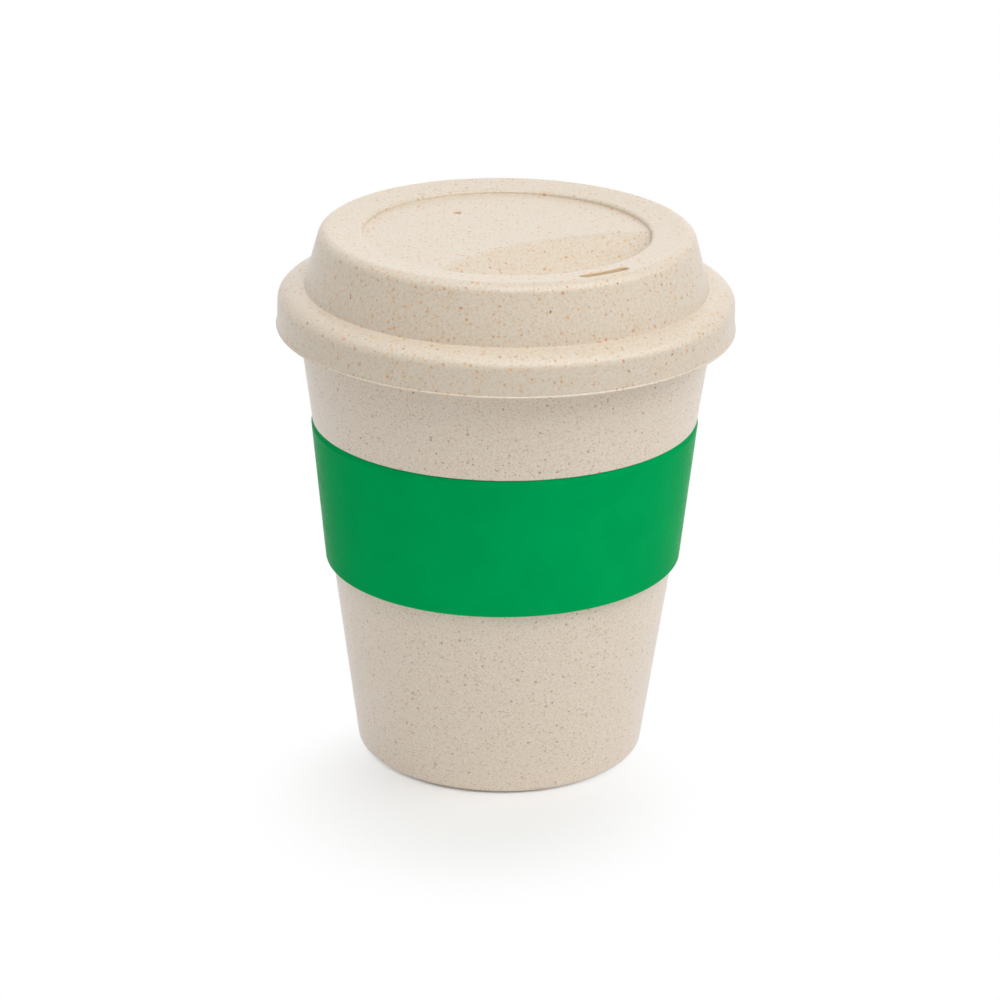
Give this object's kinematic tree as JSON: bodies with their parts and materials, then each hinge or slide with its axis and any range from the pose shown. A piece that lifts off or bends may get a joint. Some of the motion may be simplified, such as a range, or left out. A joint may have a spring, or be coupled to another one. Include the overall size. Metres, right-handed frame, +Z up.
{
  "type": "travel mug",
  "caption": "Tapered bamboo-fibre travel mug with a silicone grip band and a domed push-on lid that has a curved sip slot, a recess with a deeper well on the sip side, and a vent.",
  "frame": {"origin": "centre of the mug's footprint, on the plane that it stands on", "axes": "+Z up along the mug's axis, -Y towards the front of the cup; the lid's sip slot is 34 degrees to the right of the front"},
  "size_m": [0.095, 0.095, 0.1138],
  "materials": {
    "cup_shell": "matt moulded bamboo-fibre composite with fine brown specks",
    "band_silicone": "smooth satin green silicone",
    "lid_shell": "matt moulded bamboo-fibre composite with sparse brown flakes",
    "seal_silicone": "smooth translucent white silicone"
  },
  "bodies": {
    "cup": {"cup_body": "cup_shell"},
    "seal": {"lid_seal_ring": "seal_silicone"},
    "lid": {"lid": "lid_shell"},
    "band": {"grip_band": "band_silicone"}
  },
  "joints": [
    {"name": "lid_lift", "type": "slide", "parent": "cup", "child": "seal", "axis": [0, 0, 1], "range_m": [0, 0.05]},
    {"name": "lid_turn", "type": "hinge", "parent": "seal", "child": "lid", "pos_m": [0, 0, 0.0989], "axis": [0, 0, 1], "continuous": true},
    {"name": "band_slide", "type": "slide", "parent": "cup", "child": "band", "axis": [0, 0, -1], "range_m": [0, 0.0419]}
  ]
}
